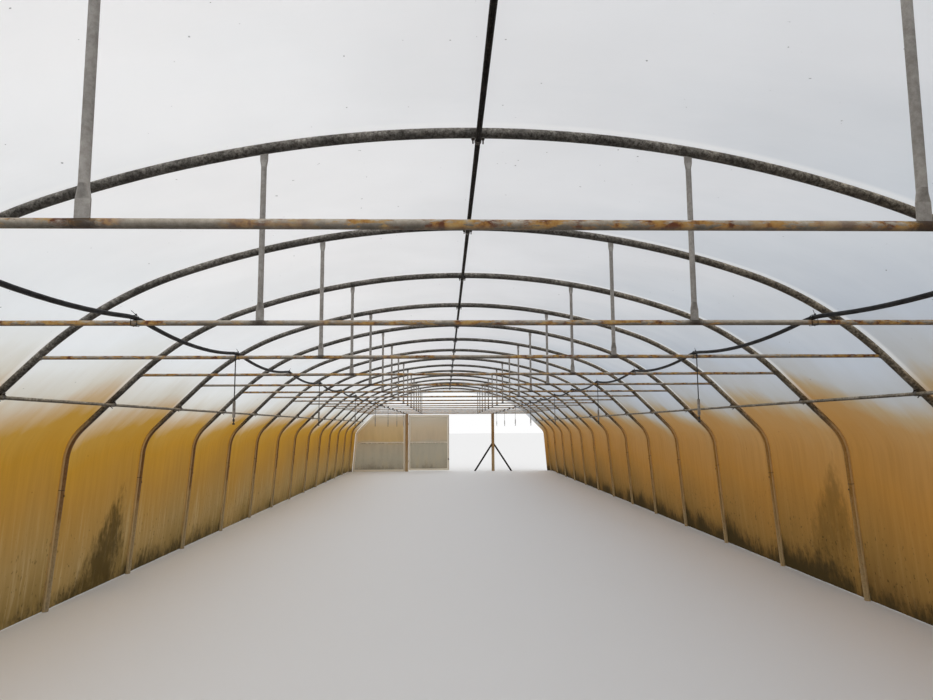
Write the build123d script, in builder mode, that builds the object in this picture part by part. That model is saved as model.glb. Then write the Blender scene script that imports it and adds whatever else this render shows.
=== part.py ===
"""Polytunnel greenhouse: bent steel hoops under one sheet of film, with a half-closed frame at each end.

Millimetres. X runs across the tunnel, +Y along it to the far end and +Z up. The origin is on the
ground at the middle of the tunnel.
"""
import os
from math import asin, atan2, cos, degrees, radians, sin, sqrt, tan

from build123d import *

# Length of the tunnel
bays = 16
bay_length = 1500.0
end_station = bays * bay_length / 2
hoops_per_node = 4

# Hoop: a crown arc, two haunch arcs, two straight slopes, two eave bends and two leaning legs.
# The slopes start at a share of the foot's half span, so the crown widens with the tunnel.
hoop_radius = 24.0
foot_half_span = 3480.0
ridge_height = 2848.0
crown_radius = 5750.0
slope_top_share = 0.809
haunch_radius = 2400.0
slope_angle = 45.0
eave_bend_radius = 420.0
leg_lean = 4.5

# Ground tubes that the hoop's legs stand in
ground_tube_radius = 24.3
ground_tube_top = 990.0

# Tie bars, hangers and purlins. The side purlins lie on the slopes, a rise above the eave bends.
tie_bar_radius = 12.0
tie_bar_height = 1966.0
hanger_radius = 12.5
hanger_spacing = 1942.0
hanger_tab_width = 35.0
hanger_tab_thickness = 6.0
hanger_top_tab = 28.0
hanger_foot_tab = 45.0
hanger_flare = 34.0
purlin_radius = 12.5
side_purlin_rise = 227.169
purlin_overhang = 20.0

# Saddle clamps that hold the purlins under the hoops
clamp_thickness = 3.0
clamp_width = 26.0
clamp_ear = 15.0

# Water pipes on the tie bars, and the sprinklers that hang from them
pipe_radius = 10.0
pipe_spacing = 3028.0
pipe_sag = 40.0
pipe_crest_length = 200.0
pipe_overhang = 40.0
plug_radius = 13.0
plug_length = 25.0
drop_setback = 36.0
drop_tube_radius = 3.5
drop_tube_length = 298.0
drop_weight_radius = 9.5
drop_weight_length = 106.0
drop_neck_radius = 3.0
drop_neck_length = 10.0
drop_bulb_radius = 7.0
drop_bulb_length = 16.0
drop_head_radius = 8.5
drop_head_length = 10.0

# Film cover
film_thickness = 2.0
film_gap = 0.5
film_overhang = 80.0

# End frames: two posts under the end tie bar, one braced, with a side panel and a door leaf
post_size = 95.0
post_spacing = 2970.0
brace_size = 55.0
brace_reach = 660.0
brace_top = 945.0
panel_depth = 25.0
panel_rail = 45.0
panel_top_gap = 24.0
panel_mid_rail_height = 960.0
side_panel_hoop_gap = 110.0
door_ground_gap = 30.0
door_hinge_gap = 8.0
door_free_gap = 30.0

# Strap hinges
hinge_heights = (330.0, 1600.0)
hinge_pin_radius = 6.0
hinge_eye_radius = 10.0
hinge_eye_height = 30.0
hinge_offset = 12.0
hinge_play = 0.5
strap_length = 44.0
strap_crank = 12.0
strap_thickness = 4.0
hinge_plate_width = 60.0
hinge_plate_height = 90.0

# Seats
seat_gap = 0.3

stations = [i * bay_length - end_station for i in range(bays + 1)]
lean, slope = radians(leg_lean), radians(slope_angle)
haunch_reach = slope_top_share * foot_half_span - haunch_radius * sin(slope)
crown_turn = asin(haunch_reach / (crown_radius - haunch_radius))


def polar(centre, radius, angle):
    """Point at a distance from a centre, at an angle above the horizontal."""
    return (centre[0] + radius * cos(angle), centre[1] + radius * sin(angle))


# Centres of the hoop's arcs, on its right half, as (x, z)
crown_centre = (0.0, ridge_height - crown_radius)
haunch_centre = polar(crown_centre, crown_radius - haunch_radius, radians(90) - crown_turn)
slope_top = polar(haunch_centre, haunch_radius, radians(90) - slope)
leg_rise = ((foot_half_span - slope_top[0]) * sin(slope) - slope_top[1] * cos(slope)) / (
    sin(lean) * sin(slope) - cos(lean) * cos(slope)
)
eave_corner = (foot_half_span - leg_rise * sin(lean), leg_rise * cos(lean))
eave_half_turn = (radians(90) - slope - lean) / 2
eave_centre = polar(
    eave_corner, -eave_bend_radius / cos(eave_half_turn), (lean + radians(90) - slope) / 2
)


def hoop_stretches(offset):
    """The five stretches of the hoop's right half, moved outwards by an offset, as corner points.

    They run from the crown down to the ground, and the names say what each one is.
    """
    foot = (foot_half_span + offset / cos(lean), 0.0)
    return {
        "roof": (crown_centre, crown_radius + offset, radians(90) - crown_turn, crown_turn),
        "haunch": (haunch_centre, haunch_radius + offset, radians(90) - slope, slope - crown_turn),
        "slope": (
            polar(haunch_centre, haunch_radius + offset, radians(90) - slope),
            polar(eave_centre, eave_bend_radius + offset, radians(90) - slope),
        ),
        "eave": (eave_centre, eave_bend_radius + offset, lean, 2 * eave_half_turn),
        "side": (polar(eave_centre, eave_bend_radius + offset, lean), foot),
    }


def draw_stretch(offset, name):
    """Draw one stretch of the right half into the open line."""
    stretch = hoop_stretches(offset)[name]
    if name in ("slope", "side"):
        return Line(*stretch)
    centre, radius, start, size = stretch
    return CenterArc(centre, radius, degrees(start), degrees(size))


def half_width_at(height, offset):
    """Half width of the hoop below its crown at a height, on the line moved outwards by an offset."""
    slope_start, slope_end = hoop_stretches(offset)["slope"]
    side_start, foot = hoop_stretches(offset)["side"]
    if height > slope_start[1]:
        return haunch_centre[0] + sqrt((haunch_radius + offset) ** 2 - (height - haunch_centre[1]) ** 2)
    if height > slope_end[1]:
        return slope_start[0] + (slope_start[1] - height) / tan(slope)
    if height > side_start[1]:
        return eave_centre[0] + sqrt((eave_bend_radius + offset) ** 2 - (height - eave_centre[1]) ** 2)
    return foot[0] - height * tan(lean)


def write(part, name):
    """Label a finished piece and write its file."""
    part.label = name
    export_step(part, "parts/" + name + ".step")


def repeated(piece, name, places):
    """Copies of one piece, at the given places, written as one node."""
    with BuildPart() as copies:
        with Locations(*places):
            add(piece)
    write(copies.part, name)


def both_sides(piece):
    """A piece of the right side and its mirror image on the left side."""
    with BuildPart() as pair:
        add(piece)
        mirror(about=Plane.YZ)
    return pair.part


def at_both_ends(piece, name):
    """Write a piece of the far end, and the same piece turned half round for the near end."""
    write(piece, "far_" + name)
    write(piece.rotate(Axis.Z, 180), "near_" + name)


os.makedirs("parts", exist_ok=True)

# Hoops
with BuildLine(Plane.XZ) as right_half:
    for stretch_name in ("roof", "haunch", "slope", "eave", "side"):
        draw_stretch(0, stretch_name)
    mirror(about=Plane.YZ)

# Direction of the right leg, pointing up
leg_direction = Vector(-sin(lean), 0, cos(lean))
leg_plane = Plane(origin=(foot_half_span, 0, 0), x_dir=(0, 1, 0), z_dir=leg_direction)
splice_plane = leg_plane.offset(ground_tube_top / cos(lean))


def swept_hoop(radius):
    """A round tube along the whole hoop, from ground to ground."""
    with BuildPart() as tube:
        with BuildSketch(leg_plane):
            Circle(radius)
        sweep(path=right_half.wires()[0])
    return tube.part


with BuildPart() as hoop:
    add(swept_hoop(hoop_radius))
    split(bisect_by=splice_plane, keep=Keep.TOP)
    mirrored_splice = Plane(
        origin=(-splice_plane.origin.X, 0, splice_plane.origin.Z),
        x_dir=(0, 1, 0),
        z_dir=(sin(lean), 0, cos(lean)),
    )
    split(bisect_by=mirrored_splice, keep=Keep.TOP)

write(hoop.part.moved(Location((0, stations[0], 0))), "near_end_hoop")
write(hoop.part.moved(Location((0, stations[-1], 0))), "far_end_hoop")
inner_stations = stations[1:-1]
for first in range(0, len(inner_stations), hoops_per_node):
    group = inner_stations[first : first + hoops_per_node]
    group_name = f"hoops_{first + 1:02d}_to_{first + len(group):02d}"
    repeated(hoop.part, group_name, [(0, y, 0) for y in group])

# Ground tubes, cut level with the ground
with BuildPart() as ground_tube:
    with BuildSketch(leg_plane.offset(-ground_tube_radius)):
        Circle(ground_tube_radius)
    extrude(amount=ground_tube_top / cos(lean) + ground_tube_radius)
    split(bisect_by=Plane.XY, keep=Keep.TOP)
repeated(both_sides(ground_tube.part), "ground_tubes", [(0, y, 0) for y in stations])

# Tie bars, coped to the inside of the hoops
hoop_clearance = swept_hoop(hoop_radius + seat_gap)
with BuildPart() as tie_bar:
    with BuildSketch(Plane.YZ):
        with Locations((0, tie_bar_height)):
            Circle(tie_bar_radius)
    extrude(amount=half_width_at(tie_bar_height, 0), both=True)
    add(hoop_clearance, mode=Mode.SUBTRACT)
    middle = tie_bar.solids().sort_by(SortBy.VOLUME)[-1]
repeated(middle, "tie_bars", [(0, y, 0) for y in stations])

# Hangers: tubes with flattened, flared ends, from each tie bar up to its hoop
hanger_x = hanger_spacing / 2
hanger_foot = tie_bar_height + tie_bar_radius + seat_gap
hanger_angle = asin(hanger_x / crown_radius)
hanger_head = crown_centre[1] + crown_radius * cos(hanger_angle) - hoop_radius / cos(hanger_angle)
hanger_tube_length = hanger_head - hanger_foot - hanger_foot_tab - hanger_top_tab - 2 * hanger_flare


def hanger_section(height, flat):
    """Cross-section of the hanger at a height: flat in its tabs, round between them."""
    with BuildSketch(Plane.XY.offset(height)) as section:
        with Locations((hanger_x, 0)):
            if flat:
                Rectangle(hanger_tab_width, hanger_tab_thickness)
            else:
                Circle(hanger_radius)
    return section.sketch


foot_flare_start = hanger_foot + hanger_foot_tab
foot_flare_end = foot_flare_start + hanger_flare
top_flare_end = hanger_head - hanger_top_tab
top_flare_start = top_flare_end - hanger_flare
with BuildPart() as hanger:
    extrude(hanger_section(hanger_foot - tie_bar_radius, True), amount=tie_bar_radius + hanger_foot_tab)
    loft([hanger_section(foot_flare_start, True), hanger_section(foot_flare_end, False)])
    extrude(hanger_section(foot_flare_end, False), amount=hanger_tube_length)
    loft([hanger_section(top_flare_start, False), hanger_section(top_flare_end, True)])
    extrude(hanger_section(top_flare_end, True), amount=hanger_top_tab + hoop_radius)
    add(hoop_clearance, mode=Mode.SUBTRACT)
    with BuildSketch(Plane.YZ):
        with Locations((0, tie_bar_height)):
            Circle(tie_bar_radius + seat_gap)
    extrude(amount=half_width_at(tie_bar_height, 0), mode=Mode.SUBTRACT)
    hanger_piece = hanger.solids().sort_by(SortBy.VOLUME)[-1]
repeated(both_sides(hanger_piece), "hangers", [(0, y, 0) for y in stations])

# Purlins under the hoops: one beside the ridge and one on each slope
purlin_depth = hoop_radius + seat_gap + purlin_radius
ridge_seat = Plane(origin=(0, 0, ridge_height - purlin_depth), x_dir=(1, 0, 0), z_dir=(0, -1, 0))
side_purlin_height = hoop_stretches(0)["slope"][1][1] + side_purlin_rise
side_seat_x = half_width_at(side_purlin_height, 0) - purlin_depth * sin(slope)
right_seat = Plane(
    origin=(side_seat_x, 0, side_purlin_height - purlin_depth * cos(slope)),
    x_dir=(cos(slope), 0, -sin(slope)),
    z_dir=(0, -1, 0),
)
left_seat = Plane(
    origin=(-side_seat_x, 0, side_purlin_height - purlin_depth * cos(slope)),
    x_dir=(cos(slope), 0, sin(slope)),
    z_dir=(0, -1, 0),
)
for purlin_name, seat in (
    ("ridge_purlin", ridge_seat),
    ("side_purlin_left", left_seat),
    ("side_purlin_right", right_seat),
):
    with BuildPart() as purlin:
        with BuildSketch(seat):
            Circle(purlin_radius)
        extrude(amount=end_station + purlin_overhang, both=True)
    write(purlin.part, purlin_name)


def saddle_clamp(seat):
    """A strap bent round the purlin, with two ears flat against the hoop's underside."""
    inner = purlin_radius + seat_gap
    outer = inner + clamp_thickness
    with BuildPart() as clamp:
        with BuildSketch(seat):
            Circle(outer)
            with Locations((0, (purlin_radius - clamp_thickness) / 2)):
                Rectangle(2 * outer, purlin_radius + clamp_thickness)
            with Locations((0, purlin_radius - clamp_thickness / 2)):
                Rectangle(2 * (outer + clamp_ear), clamp_thickness)
            Circle(inner, mode=Mode.SUBTRACT)
            with Locations((0, purlin_radius / 2)):
                Rectangle(2 * inner, purlin_radius, mode=Mode.SUBTRACT)
            with Locations((0, purlin_radius + outer)):
                Rectangle(4 * outer + clamp_ear, 2 * outer, mode=Mode.SUBTRACT)
        extrude(amount=clamp_width / 2, both=True)
    return clamp.part


repeated(saddle_clamp(ridge_seat), "ridge_clamps", [(0, y, 0) for y in stations])
repeated(both_sides(saddle_clamp(right_seat)), "side_clamps", [(0, y, 0) for y in stations])

# Water pipes, tied down on each tie bar and sagging a little between them
pipe_seat_height = tie_bar_height + tie_bar_radius + seat_gap + pipe_radius
trough_length = bay_length - pipe_crest_length
pipe_slope = 2 * pipe_sag / (pipe_crest_length / 2 + trough_length / 2)
crest_drop = pipe_slope * pipe_crest_length / 4
pipe_x = pipe_spacing / 2
with BuildLine(Plane.YZ) as pipe_line:
    start = (stations[0] - pipe_overhang, pipe_seat_height - crest_drop)
    previous = (stations[0] + pipe_crest_length / 2, pipe_seat_height - crest_drop)
    ThreePointArc(start, (stations[0], pipe_seat_height), previous)
    for y in stations[1:]:
        trough_end = (y - pipe_crest_length / 2, pipe_seat_height - crest_drop)
        low_point = (y - bay_length / 2, pipe_seat_height - pipe_sag)
        ThreePointArc(previous, low_point, trough_end)
        last_one = y == stations[-1]
        crest_end = y + (pipe_overhang if last_one else pipe_crest_length / 2)
        previous = (crest_end, pipe_seat_height - crest_drop)
        ThreePointArc(trough_end, (y, pipe_seat_height), previous)
with BuildPart() as pipe:
    with BuildSketch(Plane(origin=pipe_line.line @ 0, z_dir=pipe_line.line % 0)):
        Circle(pipe_radius)
    sweep(path=pipe_line.wires()[0])
    for end in (0, 1):
        tangent = (pipe_line.line % end) * (2 * end - 1)
        with BuildSketch(Plane(origin=pipe_line.line @ end, z_dir=tangent)):
            Circle(plug_radius)
        extrude(amount=plug_length)
write(pipe.part.moved(Location((-pipe_x, 0, 0))), "water_pipe_left")
write(pipe.part.moved(Location((pipe_x, 0, 0))), "water_pipe_right")

# Sprinkler drops: a thin tube with a weight, an anti-drip bulb and a spray head
crest_radius = ((pipe_crest_length / 2) ** 2 + crest_drop**2) / (2 * crest_drop)
crest_rise = sqrt(crest_radius**2 - drop_setback**2) - crest_radius
drop_top = pipe_seat_height + crest_rise - pipe_radius - seat_gap
with BuildPart() as drop:
    with BuildSketch(Plane.XZ):
        level = drop_top
        for radius, length in (
            (drop_tube_radius, drop_tube_length),
            (drop_weight_radius, drop_weight_length),
            (drop_neck_radius, drop_neck_length),
            (drop_bulb_radius, drop_bulb_length),
            (drop_neck_radius, drop_neck_length),
            (drop_head_radius, drop_head_length),
        ):
            with Locations((radius / 2, level - length / 2)):
                Rectangle(radius, length)
            level -= length
    revolve(axis=Axis.Z)
drop_stations = stations[1:-1:2]
drop_places = [(side * pipe_x, y - drop_setback, 0) for side in (-1, 1) for y in drop_stations]
repeated(drop.part, "sprinkler_drops", drop_places)

# Film: one sheet over the outside of the hoops, in strips that meet along its length
film_inside = max(hoop_radius, ground_tube_radius) + film_gap
film_outside = film_inside + film_thickness
film_end = end_station + film_overhang
for stretch_name in ("roof", "haunch", "slope", "eave", "side"):
    with BuildPart() as strip:
        with BuildSketch(Plane.XZ):
            with BuildLine():
                inner_line = draw_stretch(film_inside, stretch_name)
                outer_line = draw_stretch(film_outside, stretch_name)
                Line(inner_line @ 0, outer_line @ 0)
                Line(inner_line @ 1, outer_line @ 1)
            make_face()
        extrude(amount=film_end, both=True)
    write(strip.part, f"film_{stretch_name}_right")
    write(mirror(strip.part, about=Plane.YZ), f"film_{stretch_name}_left")

# End posts, notched for the end tie bar, and the two braces of the right one
post_x = post_spacing / 2
post_face = end_station + post_size / 2
with BuildPart() as post:
    with BuildSketch(Plane.XY):
        with Locations((post_x, end_station)):
            Rectangle(post_size, post_size)
    extrude(amount=tie_bar_height)
    with BuildSketch(Plane.YZ):
        with Locations((end_station, tie_bar_height)):
            Circle(tie_bar_radius + seat_gap)
    extrude(amount=foot_half_span, mode=Mode.SUBTRACT)
at_both_ends(post.part, "post_right")
at_both_ends(post.part.moved(Location((-post_spacing, 0, 0))), "post_left")

brace_inset = post_size / 2 + seat_gap
brace_angle = atan2(brace_top, brace_reach - brace_inset)
with BuildPart() as brace:
    with BuildSketch(Plane.XZ):
        with BuildLine():
            top = (post_x + brace_inset, brace_top)
            top_under = (post_x + brace_inset, brace_top - brace_size / cos(brace_angle))
            foot = (post_x + brace_reach, 0)
            foot_under = (post_x + brace_reach - brace_size / sin(brace_angle), 0)
            Polyline(top, top_under, foot_under, foot, close=True)
        make_face()
    extrude(amount=brace_size / 2, both=True)
    mirror(about=Plane.YZ.offset(post_x))
at_both_ends(brace.part.moved(Location((0, end_station, 0))), "post_braces")

# Side panel between the left post and the hoop: a rail frame under film
panel_top = tie_bar_height - tie_bar_radius - panel_top_gap
panel_hoop_offset = -hoop_radius - side_panel_hoop_gap
panel_plane = Plane.XZ.offset(-post_face)


def side_panel_outline(inset):
    """Draw the closed outline of the side panel, moved inwards by an inset."""
    offset = panel_hoop_offset - inset
    inner_x = post_x + post_size / 2 + seat_gap + inset
    top = panel_top - inset
    slope_start, slope_end = hoop_stretches(offset)["slope"]
    side_start = hoop_stretches(offset)["side"][0]
    side_foot = (foot_half_span + offset / cos(lean) - inset * tan(lean), inset)
    top_corner = (half_width_at(top, offset), top)
    if top <= side_start[1]:
        Line(side_foot, top_corner)
    elif top <= slope_end[1]:
        Line(side_foot, side_start)
        turn = asin((top - eave_centre[1]) / (eave_bend_radius + offset)) - lean
        CenterArc(eave_centre, eave_bend_radius + offset, leg_lean, degrees(turn))
    else:
        Line(side_foot, side_start)
        draw_stretch(offset, "eave")
        if top <= slope_start[1]:
            Line(slope_end, top_corner)
        else:
            Line(slope_end, slope_start)
            turn = asin((top - haunch_centre[1]) / (haunch_radius + offset)) - radians(90) + slope
            CenterArc(haunch_centre, haunch_radius + offset, 90 - slope_angle, degrees(turn))
    Line(top_corner, (inner_x, top))
    Line((inner_x, top), (inner_x, inset))
    Line((inner_x, inset), side_foot)


with BuildPart() as side_frame:
    with BuildSketch(panel_plane):
        with BuildLine():
            side_panel_outline(0)
        make_face()
        with BuildLine():
            side_panel_outline(panel_rail)
        make_face(mode=Mode.SUBTRACT)
    extrude(amount=panel_depth)
    with BuildSketch(panel_plane):
        with BuildLine():
            side_panel_outline(panel_rail / 2)
        make_face()
        with Locations((0, panel_mid_rail_height + panel_rail / 2)):
            Rectangle(2 * foot_half_span, panel_rail, mode=Mode.INTERSECT)
    extrude(amount=panel_depth)
at_both_ends(mirror(side_frame.part, about=Plane.YZ), "side_panel_frame")

with BuildPart() as side_film:
    with BuildSketch(panel_plane):
        with BuildLine():
            side_panel_outline(0)
        make_face()
    extrude(amount=-film_thickness)
at_both_ends(mirror(side_film.part, about=Plane.YZ), "side_panel_film")

# Door leaf hung on the left post, and its film
leaf_hinge_x = -post_x + post_size / 2 + door_hinge_gap
leaf_width = -door_free_gap - leaf_hinge_x
leaf_height = panel_top - door_ground_gap
leaf_middle = (leaf_hinge_x + leaf_width / 2, door_ground_gap + leaf_height / 2)
mid_rail_middle = (leaf_middle[0], panel_mid_rail_height + panel_rail / 2)
with BuildPart() as leaf_frame:
    with BuildSketch(panel_plane):
        with Locations(leaf_middle):
            Rectangle(leaf_width, leaf_height)
            Rectangle(leaf_width - 2 * panel_rail, leaf_height - 2 * panel_rail, mode=Mode.SUBTRACT)
        with Locations(mid_rail_middle):
            Rectangle(leaf_width - panel_rail, panel_rail)
    extrude(amount=panel_depth)
at_both_ends(leaf_frame.part, "door_frame")

with BuildPart() as leaf_film:
    with BuildSketch(panel_plane):
        with Locations(leaf_middle):
            Rectangle(leaf_width, leaf_height)
    extrude(amount=-film_thickness)
at_both_ends(leaf_film.part, "door_film")

# Strap hinges: a pin on a plate on the post, and a strap with an eye on the leaf
pin_x = leaf_hinge_x - door_hinge_gap / 2
leaf_face = post_face + film_thickness
pin_y = leaf_face + hinge_offset
plate_edge_x = pin_x - door_hinge_gap / 2
with BuildPart() as hinge_pin:
    with BuildSketch(Plane.XY):
        with Locations((plate_edge_x - hinge_plate_width / 2, post_face + strap_thickness / 2)):
            Rectangle(hinge_plate_width, strap_thickness)
    extrude(amount=-hinge_plate_height)
    with BuildSketch(Plane.XY.offset(-hinge_play)):
        with Locations((pin_x, pin_y)):
            Circle(hinge_eye_radius)
        with BuildLine():
            Polyline(
                (pin_x, pin_y + hinge_eye_radius),
                (pin_x - hinge_plate_width, post_face + strap_thickness),
                (plate_edge_x, post_face + strap_thickness),
                (pin_x, pin_y - hinge_eye_radius),
                close=True,
            )
        make_face()
    extrude(amount=-strap_thickness)
    with BuildSketch(Plane.XY.offset(-hinge_play - strap_thickness)):
        with Locations((pin_x, pin_y)):
            Circle(hinge_pin_radius)
    extrude(amount=hinge_eye_height + 2 * hinge_play + strap_thickness + hinge_pin_radius)

with BuildPart() as hinge_strap:
    with BuildSketch(Plane.XY):
        with Locations((pin_x, pin_y)):
            Circle(hinge_eye_radius)
        with BuildLine():
            Polyline(
                (pin_x, pin_y - hinge_eye_radius),
                (leaf_hinge_x + strap_crank, leaf_face),
                (leaf_hinge_x + strap_length, leaf_face),
                (leaf_hinge_x + strap_length, leaf_face + strap_thickness),
                (leaf_hinge_x + strap_crank, leaf_face + strap_thickness),
                (pin_x, pin_y - hinge_eye_radius + strap_thickness),
                close=True,
            )
        make_face()
        with Locations((pin_x, pin_y)):
            Circle(hinge_pin_radius + hinge_play, mode=Mode.SUBTRACT)
    extrude(amount=hinge_eye_height)
for piece, piece_name in ((hinge_pin.part, "hinge_pins"), (hinge_strap.part, "hinge_straps")):
    with BuildPart() as pair:
        with Locations(*[(0, 0, height) for height in hinge_heights]):
            add(piece)
    at_both_ends(pair.part, piece_name)
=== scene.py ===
"""Looks of the polytunnel greenhouse: weathered film, mottled tube, rust, timber and black pipe.

Metres, in the frame of the CAD model: X across the tunnel, +Y to its far end, +Z up.
"""

import math
import random

import bpy
import numpy as np
from mathutils import Matrix, Vector
from mathutils.noise import noise as noise_at


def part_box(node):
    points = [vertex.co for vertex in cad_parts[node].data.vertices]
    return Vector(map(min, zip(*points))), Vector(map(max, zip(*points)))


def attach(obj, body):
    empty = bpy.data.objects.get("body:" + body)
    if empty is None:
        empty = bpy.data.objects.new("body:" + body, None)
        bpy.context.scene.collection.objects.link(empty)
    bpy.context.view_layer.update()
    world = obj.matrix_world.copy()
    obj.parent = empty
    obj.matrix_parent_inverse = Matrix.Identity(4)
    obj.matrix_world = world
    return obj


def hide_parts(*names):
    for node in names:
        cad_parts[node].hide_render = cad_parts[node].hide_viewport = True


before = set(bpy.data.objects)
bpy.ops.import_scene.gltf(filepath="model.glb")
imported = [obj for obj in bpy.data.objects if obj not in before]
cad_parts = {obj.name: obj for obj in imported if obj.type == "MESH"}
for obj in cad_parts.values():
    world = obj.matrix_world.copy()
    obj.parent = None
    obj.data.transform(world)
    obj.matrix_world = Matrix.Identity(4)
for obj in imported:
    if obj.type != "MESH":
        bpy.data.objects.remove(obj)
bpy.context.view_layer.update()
draw = random.Random(7)

# Sizes of the hoop line, as in the CAD model
HOOP_RADIUS = 0.024
FOOT_HALF_SPAN = 3.480
RIDGE_HEIGHT = 2.848
CROWN_RADIUS = 5.750
CROWN_TURN = math.radians(19.5)
HAUNCH_RADIUS = 2.400
SLOPE = math.radians(45)
EAVE_RADIUS = 0.420
LEAN = math.radians(4.5)
BAYS = 16
SPLICE_HEIGHT = 0.990
HANGER_X = 0.971
PIPE_X = 1.514
POST_X = 1.485
HOOP_GAP = 0.110

far_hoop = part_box("far_end_hoop")
END = (far_hoop[0].y + far_hoop[1].y) / 2
BAY = 2 * END / BAYS
STATIONS = [i * BAY - END for i in range(BAYS + 1)]
bar_low, bar_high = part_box("tie_bars")
BAR_Z = (bar_low.z + bar_high.z) / 2
BAR_RADIUS = (bar_high.z - bar_low.z) / 2


# Hoop line

def polar(centre, radius, angle):
    return (centre[0] + radius * math.cos(angle), centre[1] + radius * math.sin(angle))


UP = math.pi / 2
crown_centre = (0.0, RIDGE_HEIGHT - CROWN_RADIUS)
haunch_centre = polar(crown_centre, CROWN_RADIUS - HAUNCH_RADIUS, UP - CROWN_TURN)
slope_top = polar(haunch_centre, HAUNCH_RADIUS, UP - SLOPE)
leg_rise = ((FOOT_HALF_SPAN - slope_top[0]) * math.sin(SLOPE) - slope_top[1] * math.cos(SLOPE)) / (
    math.sin(LEAN) * math.sin(SLOPE) - math.cos(LEAN) * math.cos(SLOPE)
)
eave_corner = (FOOT_HALF_SPAN - leg_rise * math.sin(LEAN), leg_rise * math.cos(LEAN))
half_turn = (UP - SLOPE - LEAN) / 2
eave_centre = polar(eave_corner, -EAVE_RADIUS / math.cos(half_turn), (LEAN + UP - SLOPE) / 2)


def half_line(offset, step=0.08):
    """Points and outward normals down the right half of the hoop line, from the ridge to the ground."""
    rows = []

    def arc(centre, radius, start, end):
        count = max(2, round(abs(start - end) * radius / step))
        for i in range(count):
            angle = start + (end - start) * i / count
            rows.append((*polar(centre, radius + offset, angle), math.cos(angle), math.sin(angle)))

    def straight(start, end, angle):
        length = math.dist(start, end)
        count = max(2, round(length / step))
        for i in range(count):
            t = i / count
            rows.append((start[0] + (end[0] - start[0]) * t, start[1] + (end[1] - start[1]) * t,
                         math.cos(angle), math.sin(angle)))

    arc(crown_centre, CROWN_RADIUS, UP, UP - CROWN_TURN)
    arc(haunch_centre, HAUNCH_RADIUS, UP - CROWN_TURN, UP - SLOPE)
    straight(polar(haunch_centre, HAUNCH_RADIUS + offset, UP - SLOPE),
             polar(eave_centre, EAVE_RADIUS + offset, UP - SLOPE), UP - SLOPE)
    arc(eave_centre, EAVE_RADIUS, UP - SLOPE, LEAN)
    foot = (FOOT_HALF_SPAN + offset / math.cos(LEAN), 0.0)
    straight(polar(eave_centre, EAVE_RADIUS + offset, LEAN), foot, LEAN)
    rows.append((*foot, math.cos(LEAN), math.sin(LEAN)))
    return np.array(rows)


def whole_line(offset, step=0.08):
    """The whole hoop line from the left foot over the ridge to the right foot."""
    right = half_line(offset, step)
    left = right[:0:-1] * np.array([-1, 1, -1, 1])
    return np.vstack([left, right])


# Materials

RUST = ((0.38, (0.13, 0.040, 0.014)), (0.50, (0.40, 0.21, 0.055)), (0.66, (0.50, 0.33, 0.12)))
BURNT = (0.036, 0.026, 0.020)
PAINTED_RIGHT_LIGHT_TINT = (1.6, 1.45, 1.2)
PAINTED_LEG_EDGE_HIGHLIGHT = (0.74, 0.57, 0.31)
MOULD = (0.030, 0.023, 0.010)
LEFT_MOULD = (0.046, 0.030, 0.008)
OLIVE_MOULD = (0.070, 0.045, 0.012)
DUST_STREAK = (0.48, 0.38, 0.22)
PAINTED_SHEEN_LINE = (0.98, 0.98, 0.98)
WRAP_PALE = (0.95, 0.88, 0.74)
GREY_TIMBER = (0.22, 0.19, 0.15)
PALE_TIMBER = (0.46, 0.35, 0.20)


def new_material(name):
    material = bpy.data.materials.new(name)
    material.use_nodes = True
    tree = material.node_tree
    shader = tree.nodes["Principled BSDF"]
    return material, tree, shader


def node(tree, kind, **inputs):
    """A shader node with its inputs set, or linked where the value is a socket."""
    made = tree.nodes.new(kind)
    for key, value in inputs.items():
        socket = made.inputs[int(key[1:])] if key[0] == "_" and key[1:].isdigit() else made.inputs[key]
        if isinstance(value, bpy.types.NodeSocket):
            tree.links.new(value, socket)
        else:
            socket.default_value = value
    return made


def position(tree, scale):
    """Object position, in metres, stretched by a scale."""
    coords = tree.nodes.new("ShaderNodeTexCoord")
    mapping = node(tree, "ShaderNodeMapping")
    tree.links.new(coords.outputs["Object"], mapping.inputs["Vector"])
    mapping.inputs["Scale"].default_value = scale
    return mapping.outputs["Vector"]


def noise(tree, scale, detail=4.0, stretch=(1, 1, 1), rough=0.55):
    made = node(tree, "ShaderNodeTexNoise", Vector=position(tree, stretch), Scale=scale, Detail=detail,
                Roughness=rough)
    return made.outputs["Fac"]


def ramp(tree, value, *stops):
    """A colour ramp with (place, colour or grey) stops."""
    made = node(tree, "ShaderNodeValToRGB", Fac=value)
    ends = made.color_ramp.elements
    while len(ends) < len(stops):
        ends.new(0.5)
    for element, (place, colour) in zip(ends, stops):
        element.position = place
        element.color = (colour,) * 3 + (1,) if isinstance(colour, (int, float)) else (*colour, 1)
    return made.outputs["Color"]


def mix(tree, factor, first, second, blend="MIX"):
    made = tree.nodes.new("ShaderNodeMix")
    made.data_type = "RGBA"
    made.blend_type = blend
    for socket, value in ((made.inputs[0], factor), (made.inputs[6], first), (made.inputs[7], second)):
        if isinstance(value, bpy.types.NodeSocket):
            tree.links.new(value, socket)
        elif isinstance(value, (int, float)):
            socket.default_value = value
        else:
            socket.default_value = (*value, 1)
    return made.outputs[2]


def tinted(tree, colour, factor):
    """A colour or a grey multiplied by another one."""
    return mix(tree, 1.0, colour, factor, "MULTIPLY")


def maths(tree, operation, first, second=0.0, clamp=False):
    made = tree.nodes.new("ShaderNodeMath")
    made.operation = operation
    made.use_clamp = clamp
    for socket, value in zip(made.inputs, (first, second)):
        if isinstance(value, bpy.types.NodeSocket):
            tree.links.new(value, socket)
        else:
            socket.default_value = value
    return made.outputs[0]


def times(tree, first, second):
    return maths(tree, "MULTIPLY", first, second)


def plus(tree, first, second):
    return maths(tree, "ADD", first, second)


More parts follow.
